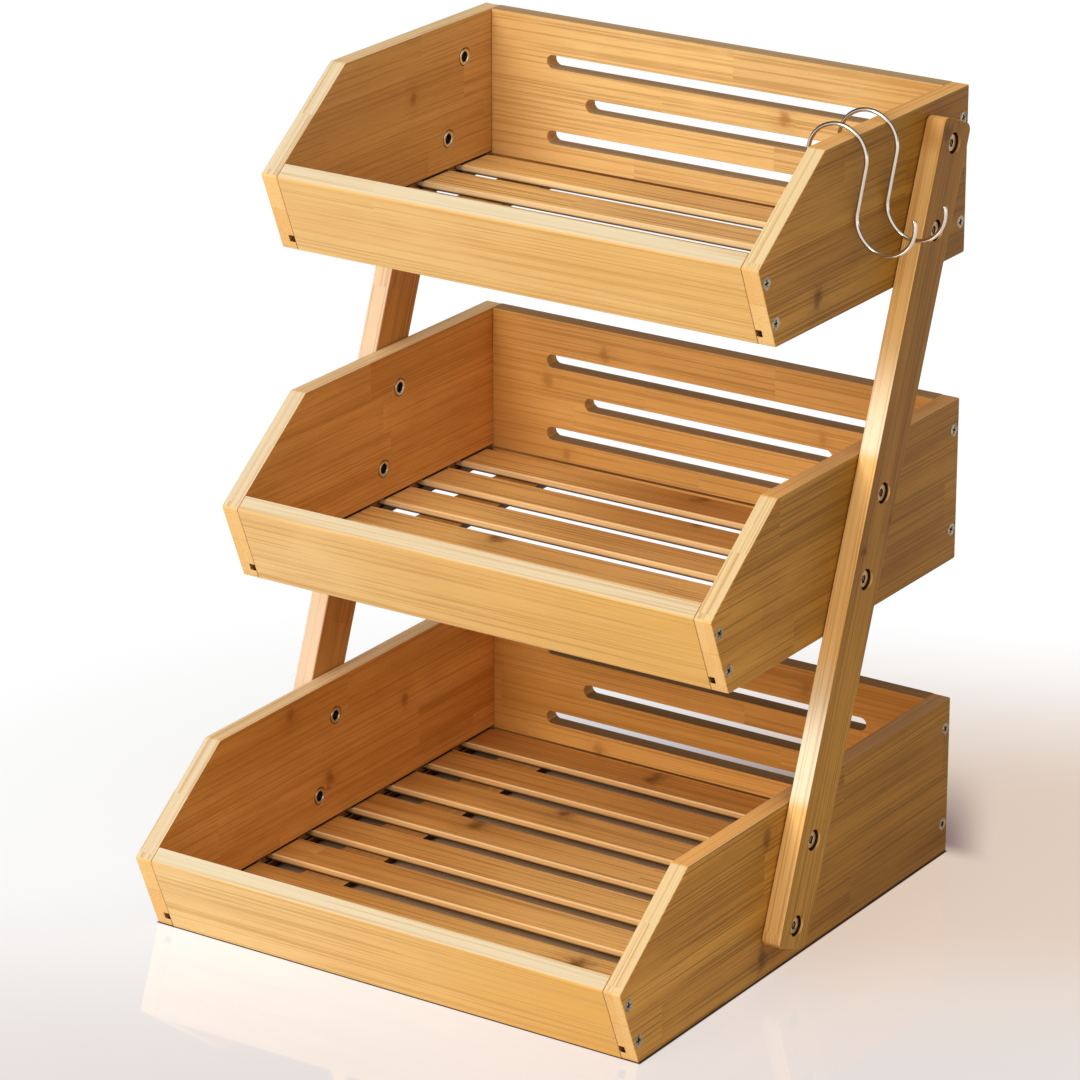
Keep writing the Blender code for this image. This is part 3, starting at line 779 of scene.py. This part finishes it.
def screwPlaces(depth):
    # depth and height of the screws into the front and the back board
    front = [(depth + leanSlope * height - frontRun / 2, height) for height in sidePanel["frontScrews"]]
    return front + [(backBoard["thickness"] / 2, height) for height in sidePanel["backScrews"]]


def trimToFront(piece, depth, level):
    # saws the leaning front and the slope above the lip
    lip = stand["lip"]
    trim(piece, at(0, depth, level), (0, -1, -leanSlope))
    trim(piece, at(0, depth + stand["overhang"], level + lip), (0, lip - stand["height"], stand["shoulder"]))


def makeSidePanel(tier, depth, level):
    outer, inner = stand["halfWidth"], innerFace
    front = depth + stand["overhang"]
    far = front + spareWood
    panel = block(f"{tier}RightPanel", at(inner, far, level), at(outer, 0, level + stand["height"]))
    trimToFront(panel, depth, level)

    def ease(first, last):
        if max(first.y, last.y) < stand["backPlane"] - front + same:
            return stand["lipEase"]
        if first.x < inner + same and last.x < inner + same:
            return sidePanel["innerEase"]
        return sidePanel["outerEase"]

    easeEdges(panel, ease)
    behind = depth - frontRun - 0.001
    low, high, deep = sidePanel["frontGroove"]
    start, stop = at(inner - 0.003, front + 0.01, level + low), at(inner + deep, behind - 0.002, level + high)
    cutOut(panel, [block("grooveEnd", start, stop)])
    low, high, deep = sidePanel["groove"]
    cutters = [block("groove", at(inner - 0.004, behind, level + low), at(inner + deep, -0.01, level + high))]
    reach = sidePanel["thickness"] + 0.003
    pocket, bore, deep, rim = sidePanel["nutHole"]
    nutHole = turned("nutHole", [
        (pocket + rim, -0.002), (pocket + rim, 0), (pocket, rim),
        (pocket, deep), (bore, deep), (bore, reach),
    ])
    head, bore = sidePanel["screwHole"]
    screwHole = turned("screwHole", [(head + 0.001, 0.001), (bore, bore - head), (bore, -reach)])
    for inset in stand["boltInsets"]:
        height = level + inset
        cutters.append(copyOf(nutHole, "nutHoleCut", facing(1, at(inner, boltDepth(height), height))))
    for spot, height in screwPlaces(depth):
        cutters.append(copyOf(screwHole, "screwHoleCut", facing(1, at(outer, spot, level + height))))
    scrap(nutHole, screwHole)
    cutOut(panel, cutters)
    twin = mirrored(panel, f"{tier}LeftPanel")
    fit(panel, sideWood, "stand", f"{tier}_right_panel")
    fit(twin, sideWood, "stand", f"{tier}_left_panel")


# Front and back boards

def makeFrontBoard(tier, depth, level):
    end = innerFace - frontBoard["endGap"]
    front = depth + stand["overhang"]
    far, near = front + spareWood, depth - frontRun - spareWood
    board = block(f"{tier}FrontBoard", at(-end, far, level), at(end, near, level + frontBoard["blank"]))
    trimToFront(board, depth, level)
    trim(board, at(0, depth - frontRun, level), (0, 1, leanSlope))

    def ease(first, last):
        if max(first.y, last.y) < stand["backPlane"] - front + same:
            return stand["lipEase"]
        return frontBoard["ease"] if abs(first.x - last.x) > end else frontBoard["endEase"]

    easeEdges(board, ease)
    fit(board, frontWood, "stand", f"{tier}_front_board")


def makeBackBoard(tier, level):
    end = innerFace - stand["gap"]
    thick, tall = backBoard["thickness"], stand["height"]
    board = block(f"{tier}BackBoard", at(-end, thick, level), at(end, 0, level + tall))
    slots = []
    for number, half in enumerate(backBoard["slotHalves"]):
        middle = level + tall / 2 + (number - 1) * backBoard["slotPitch"]
        rise = backBoard["slotHeight"] / 2
        slot = block("slot", at(-half, thick + 0.004, middle - rise), at(half, -0.004, middle + rise))
        roundEdges(slot, rise - 0.00001, 14, lambda first, last: abs(first.y - last.y) > 0.01)
        slots.append(slot)
    cutOut(board, slots)
    faces = (stand["backPlane"], stand["backPlane"] - thick)
    margin = 0.005  # wider than any eased edge of the board

    def within(corner):
        return level + margin < corner.z < level + tall - margin and abs(corner.x) < end - margin

    def ease(first, last):
        if abs(abs(first.x) - end) < same and abs(abs(last.x) - end) < same:
            return backBoard["endEase"]
        if within(first) and within(last):
            onFace = any(max(abs(first.y - face), abs(last.y - face)) < same for face in faces)
            return backBoard["rimEase"] if onFace and onSlot(first, last, level + tall / 2) else 0
        acrossBoard = abs(first.x - last.x) > 2 * end - 0.001
        return backBoard["ease"] if acrossBoard else 0

    easeEdges(board, ease)
    fit(board, backWood, "stand", f"{tier}_back_board")


def onSlot(first, last, middle):
    # both ends lie on the outline of one and the same slot, next to each other
    for number, half in enumerate(backBoard["slotHalves"]):
        rise = backBoard["slotHeight"] / 2
        height = middle + (number - 1) * backBoard["slotPitch"]
        near = [abs(math.hypot(max(abs(corner.x) - half + rise, 0), corner.z - height) - rise) < 5e-5
                for corner in (first, last)]
        if all(near):
            return abs(first.z - last.z) < rise * 0.5
    return False


# Slatted floors

floorPieces = {"slatRounding": 0.0011, "slatEase": 0.0003, "battenEase": 0.0006}


def makeFloor(tier):
    names = sorted(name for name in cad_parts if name.startswith(f"{tier}_floor_slat_"))
    masters = {}
    for name in names:
        low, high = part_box(name)
        width = round(high.y - low.y, 5)
        if width not in masters:
            slat = block("slatMaster", low, high)
            top = high.z

            def ease(first, last):
                long = abs(first.x - last.x) > 0.2
                upper = long and first.z > top - same
                return floorPieces["slatRounding"] if upper else floorPieces["slatEase"]

            easeEdges(slat, ease, 4)
            masters[width] = (slat, low)
        slat, start = masters[width]
        number = name.rsplit("_", 1)[1]
        piece = copyOf(slat, f"{tier}FloorSlat{number}", Matrix.Translation(low - start))
        fit(piece, slatWood, "stand", name)
    scrap(*(slat for slat, start in masters.values()))
    for side in ("left", "right"):
        low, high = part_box(f"{tier}_{side}_batten")
        batten = block(f"{tier}{side.title()}Batten", low, high)
        easeEdges(batten, lambda first, last: floorPieces["battenEase"], 2)
        fit(batten, battenWood, "stand", f"{tier}_{side}_batten")


# Uprights

upright = {
    "width": 0.029, "thickness": 0.0112,
    "end": 0.012,  # past the first and the last bolt
    "corner": 0.0045, "ease": 0.001,
    "hole": (0.0033, 0.00575, 0.0071),  # radii of hole and counterbore, and where that starts
}


def makeUprights():
    first = stand["boltInsets"][0]
    half, thick = upright["width"] / 2, upright["thickness"]
    bar = block("rightUpright", (0, -half, -upright["end"]), (thick, half, boltRun + upright["end"]))
    roundEdges(bar, upright["corner"], 8, lambda a, b: abs(a.x - b.x) > thick / 2)
    easeEdges(bar, lambda a, b: upright["ease"] if abs(a.x - b.x) < 1e-6 else 0, 4)
    bore, counterbore, seat = upright["hole"]
    hole = turned("boltHole", [
        (bore, -0.003), (bore, seat), (counterbore, seat), (counterbore, thick - 0.0003),
        (counterbore + 0.0004, thick + 0.0001), (counterbore + 0.0004, thick + 0.003),
    ])
    cutters = []
    for tier in range(3):
        for inset in stand["boltInsets"]:
            rise = (tier * stand["pitch"] + inset - first) / math.cos(upLean)
            cutters.append(copyOf(hole, "boltHoleCut", facing(1, (0, 0, rise))))
    scrap(hole)
    cutOut(bar, cutters)
    foot = at(stand["halfWidth"] + stand["gap"], stand["firstBoltDepth"], first)
    put(bar, Matrix.Translation(foot) @ Matrix.Rotation(-upLean, 4, "X"))
    twin = mirrored(bar, "leftUpright")
    fit(bar, uprightWood, "stand", "right_upright")
    fit(twin, uprightWood, "stand", "left_upright")


# Connector bolts, sleeve nuts and wood screws

connector = {
    "seat": 0.0177,  # underside of the head, out from the panel's inner face
    "head": 0.00465, "headThickness": 0.002, "shank": 0.0029,
    "socket": (0.0023, 0.0013),  # radius and depth
    "nut": (0.0039, 0.0045, 0.0012),  # radii of sleeve and rim, and the rim's thickness
    "nutLength": 0.0085, "bore": 0.0029, "threadPitch": 0.0007, "tip": 0.004,
}
woodScrew = {
    "head": 0.0035, "sink": 0.0001, "rim": 0.0002, "shank": 0.0015,
    "smooth": 0.009,  # under the head, before the thread starts
    "unthreaded": 0.012,  # that and the point
    "length": 0.027, "threads": 12,
    "cross": (0.0025, 0.0006, 0.0019),  # half length, half width and depth of a blade of the cross
}


def makeConnectors():
    seat, head, tip = connector["seat"], connector["head"], connector["tip"]
    top = seat + connector["headThickness"]
    bolt = turned("boltMaster", [
        (connector["shank"], tip), (connector["shank"], seat), (head - 0.0002, seat), (head, seat + 0.0003),
        (head, top - 0.0004), (head - 0.00015, top - 0.00015), (head - 0.0005, top),
    ])
    key, deep = connector["socket"]
    cutOut(bolt, [turned("socket", [
        (key, top - deep), (key, top - 0.0002), (key + 0.0003, top + 0.0001), (key + 0.0003, top + 0.001),
    ], 6)])
    sleeve, rim, rimThickness = connector["nut"]
    bore, pitch = connector["bore"], connector["threadPitch"]
    rings = [
        (sleeve, connector["nutLength"]), (sleeve, rimThickness), (rim, rimThickness),
        (rim, 0.00025), (rim - 0.00025, 0), (bore + 0.0003, 0),
    ]
    depth = 0.0003
    while depth < tip - pitch:
        rings.append((bore, depth))
        rings.append((bore - 0.00035, depth + pitch / 2))
        depth += pitch
    rings.append((bore - 0.0003, tip - 0.0001))
    nut = turned("nutMaster", rings)
    for number, tier in enumerate(stand["tiers"]):
        for side, way in (("left", -1), ("right", 1)):
            for height, inset in zip(("low", "high"), stand["boltInsets"]):
                level = number * stand["pitch"] + inset
                place = facing(way, at(way * innerFace, boltDepth(level), level))
                label = f"{tier}{side.title()}{height.title()}"
                node = f"{tier}_{side}_{height}_bolt"
                fit(copyOf(bolt, f"{label}Bolt", place), boltSteel, "stand", node)
                fit(copyOf(nut, f"{label}Nut", place), plated, "stand", node)
    scrap(bolt, nut)


def makeScrews():
    head, shank, sink = woodScrew["head"], woodScrew["shank"], woodScrew["sink"]
    rim, smooth = woodScrew["rim"], woodScrew["smooth"]
    rings = [
        (head - rim, -sink), (head, -sink - rim),
        (shank, -sink - rim - (head - shank)), (shank, -smooth),
    ]
    pitch = (woodScrew["length"] - woodScrew["unthreaded"]) / woodScrew["threads"]
    for turn in range(woodScrew["threads"]):
        for share, rise in ((0.25, -0.0003), (0.5, 0.0002), (0.75, -0.0003)):
            rings.append((shank + rise, -smooth - pitch * (turn + share)))
    rings.append((0.0002, -woodScrew["length"]))
    screw = turned("screwMaster", rings, 28)
    blades = []
    for turn in (0, math.pi / 2):
        reach, half, deep = woodScrew["cross"]
        blade = block("blade", (-reach, -half, -deep), (reach, half, 0.001))
        startEdit(blade)
        shape = bmesh.from_edit_mesh(blade.data)
        for face in shape.faces:
            face.select_set(face.normal.z < -0.5)
        bmesh.update_edit_mesh(blade.data)
        bpy.ops.transform.resize(value=(0.4, 0.5, 1), center_override=(0, 0, -deep))
        endEdit()
        put(blade, Matrix.Rotation(turn + 0.5, 4, "Z"))
        blades.append(blade)
    cutOut(screw, blades[:1])
    cutOut(screw, blades[1:])
    for number, tier in enumerate(stand["tiers"]):
        for side, way in (("Left", -1), ("Right", 1)):
            for count, (depth, height) in enumerate(screwPlaces(stand["depths"][number]), 1):
                spot = at(way * stand["halfWidth"], depth, number * stand["pitch"] + height)
                spin = Matrix.Rotation(1.7 * count + 2.3 * number + way, 4, "Z")
                fit(copyOf(screw, f"{tier}{side}Screw{count}", facing(way, spot) @ spin), screwSteel, "stand")
    scrap(screw)


# S-hooks of bent wire

hook = {
    "wire": 0.00113,
    "loop": 0.0167,
    "upper": (0.13968, 0.41812),  # x and z of the loops' centres
    "lower": (0.16825, 0.38791),
    "lean": math.radians(10.5),
    "tip": math.radians(14),
    "endEase": 0.0003,
    "planes": {"front": -0.11081, "rear": -0.08039},
}


def makeHooks():
    y = hook["planes"]["front"]
    (upX, upZ), (lowX, lowZ), loop = hook["upper"], hook["lower"], hook["loop"]
    bpy.ops.object.select_all(action="DESELECT")
    bpy.ops.mesh.primitive_circle_add(
        vertices=24, radius=hook["wire"], fill_type="NGON", location=(upX - loop, y, upZ))
    wire = named("frontHook")
    startEdit(wire)
    lean = hook["lean"]
    bpy.ops.mesh.spin(steps=48, angle=math.pi + lean, center=(upX, y, upZ), axis=(0, -1, 0))
    reach = loop * Vector((math.cos(lean), -math.sin(lean)))
    travel = (Vector((lowX, lowZ)) - reach) - (Vector((upX, upZ)) + reach)
    bpy.ops.mesh.extrude_region_move(TRANSFORM_OT_translate={"value": (travel.x, 0, travel.y)})
    bpy.ops.mesh.spin(steps=52, angle=math.pi + lean + hook["tip"], center=(lowX, y, lowZ), axis=(0, 1, 0))
    bpy.ops.mesh.select_all(action="SELECT")
    bpy.ops.mesh.remove_doubles(threshold=0.00001)
    bpy.ops.mesh.normals_make_consistent(inside=False)
    endEdit()
    aside, rise = loop * math.cos(hook["tip"]), loop * math.sin(hook["tip"])
    ends = [Vector((upX - loop, y, upZ)), Vector((lowX + aside, y, lowZ + rise))]

    def onRim(first, last):
        return any(
            all(abs((corner - end).length - hook["wire"]) < same for corner in (first, last))
            for end in ends)

    roundEdges(wire, hook["endEase"], 2, onRim)
    twin = copyOf(wire, "rearHook", Matrix.Translation((0, hook["planes"]["rear"] - y, 0)))
    fit(wire, bareSteel, "front_hook", "front_s_hook")
    fit(twin, bareSteel, "rear_hook", "rear_s_hook")


for number, tier in enumerate(stand["tiers"]):
    depth, level = stand["depths"][number], number * stand["pitch"]
    makeSidePanel(tier, depth, level)
    makeFrontBoard(tier, depth, level)
    makeBackBoard(tier, level)
    makeFloor(tier)
    print(tier, "basket made")
makeUprights()
makeConnectors()
makeScrews()
makeHooks()
print("uprights, fasteners and hooks made")


# Floor, light and camera

studio = {
    "camera": {"lens": 169.82, "place": (1.3662, -2.2235, 1.132), "down": 20.627, "turn": 33.606},
    "key": {
        "azimuth": -11.0, "height": 27.0, "away": 2.2, "target": (0, -0.15, 0.2),
        "size": 0.85, "power": 24.5, "colour": (1.0, 0.985, 0.96),
    },
    "ambient": {"all": 0.26, "above": 0.46, "front": 0.92},
    "litSide": (0.53, -0.8, 0.28),  # towards the camera; behind the stand the room is unlit
    "floorFront": (0.82, 0.765, 0.745),
    "floorRightShade": (0.82, 0.67, 0.56),
    "floorBehind": (0.06, 0.0, 0.03),
    "underMiddle": (0.5, 0.345, 0.19),
    "underRim": (0.05, 0.03, 0.03),
    "floorGlow": 0.78,  # share of the floor that takes no shade near the stand
    "footprint": (0.1508, -0.3053, 0.0052),  # half width, front and back of the lower basket's foot
}


def aimAt(thing, target):
    thing.rotation_euler = (Vector(target) - thing.location).to_track_quat("-Z", "Y").to_euler()


def makeKeyLight(scene):
    key = studio["key"]
    light = bpy.data.objects.new("keyLight", bpy.data.lights.new("keyLight", "AREA"))
    light.data.shape = "DISK"
    light.data.size = key["size"]
    light.data.energy = key["power"]
    light.data.color = key["colour"]
    side, up = math.radians(key["azimuth"]), math.radians(key["height"])
    target = Vector(key["target"])
    light.location = target + key["away"] * Vector(
        (math.sin(side) * math.cos(up), -math.cos(side) * math.cos(up), math.sin(up)))
    aimAt(light, target)
    scene.collection.objects.link(light)


def makeRoom(scene):
    # seen white; it lights the stand more from above and from the front
    paint = Paint("studio", bpy.data.worlds.new("studio"))
    scene.world = paint.owner
    way = paint.node("ShaderNodeTexCoord", output="Generated")
    y, z = paint.parts(way)[1:]
    ambient = studio["ambient"]
    level = z.most(0.0) * ambient["above"] + (y * -1.0).most(0.0) * ambient["front"] + ambient["all"]
    soft = paint.node("ShaderNodeBackground", None, {"Color": (1.0, 0.98, 0.955, 1), "Strength": level})
    towards = paint.node(
        "ShaderNodeVectorMath", {"operation": "DOT_PRODUCT"}, {0: way, 1: studio["litSide"]}, "Value")
    glossy = paint.node("ShaderNodeLightPath", output="Is Glossy Ray")
    unlit = towards.step(0.6, 0.1) * glossy * -0.93 + 1.0
    white = paint.node("ShaderNodeBackground", None, {"Color": (1, 1, 1, 1), "Strength": unlit})
    seen = glossy
    for ray in ("Is Camera Ray", "Is Transmission Ray"):
        seen = seen.most(paint.node("ShaderNodeLightPath", output=ray))
    blend = paint.node("ShaderNodeMixShader", None, {0: seen, 1: soft, 2: white})
    paint.feed(paint.tree.nodes["World Output"].inputs["Surface"], blend)


def makeGround():
    bpy.ops.object.select_all(action="DESELECT")
    bpy.ops.mesh.primitive_plane_add(size=14, location=(0, 0, -0.0002))
    ground = bpy.context.active_object
    ground.name = "ground"
    paint = Paint("whiteFloor")
    x, y = paint.parts(paint.node("ShaderNodeTexCoord", output="Object"))[:2]
    # white behind, pale grey in front, and a warm painted shade to the right of the stand
    towards = x * 0.553 - y * 0.833
    aside = x * 0.833 + y * 0.553
    tone = paint.mix(towards.step(0.09, 0.38), (1, 1, 1), studio["floorFront"])
    warm = aside.step(-0.05, 0.06) * towards.step(-0.26, 0.02) * towards.step(0.38, 0.16)
    tone = paint.mix(warm, tone, studio["floorRightShade"])
    # a soft shade falls behind the lower basket
    behind = (x + y * 0.5).step(0.182, 0.15) * x.step(-0.3, 0.1)
    behind = behind * y.between((0.13, 0.01), (-0.004, 0.016))
    tone = paint.mix(behind * 0.7, tone, studio["floorBehind"])
    # under the stand hardly any light comes in
    half, front, back = studio["footprint"]
    beyond = (x.size() - half).most((y * -1.0 + front).most(y - back))
    under = beyond.step(0.0004, -0.0004)
    rim = beyond.step(-0.014, -0.009)
    # part of the tone is seen as it is, the rest is lit and shaded
    square = x * x + (y + 0.16) * (y + 0.16)
    glow = studio["floorGlow"]
    share = square.reckon("SQRT", square).step(0.27, 0.5) * (1.0 - glow) + glow
    seen = paint.node("ShaderNodeLightPath", output="Is Camera Ray").most(
        paint.node("ShaderNodeLightPath", output="Is Glossy Ray"))
    share = share * seen * (1.0 - under)
    lit = paint.mix(share * 0.9 + 0.1, tone, (0, 0, 0))
    shaded = paint.mix(rim, studio["underMiddle"], studio["underRim"])
    ground.data.materials.append(paint.finish(
        Base_Color=paint.mix(under, lit, shaded),
        Emission_Color=paint.mix(share, (0, 0, 0), tone),
        Emission_Strength=1.0,
        Roughness=under * 0.55 + 0.05,
        IOR=1.9,
    ))


def makeCamera(scene):
    camera = bpy.data.objects.new("camera", bpy.data.cameras.new("camera"))
    view = studio["camera"]
    camera.data.lens = view["lens"]
    camera.data.sensor_width = 36
    camera.location = view["place"]
    camera.rotation_euler = (math.radians(90 - view["down"]), 0, math.radians(view["turn"]))
    scene.collection.objects.link(camera)
    scene.camera = camera
    scene.view_settings.view_transform = "Standard"


makeKeyLight(bpy.context.scene)
makeRoom(bpy.context.scene)
makeGround()
makeCamera(bpy.context.scene)
print("studio set")
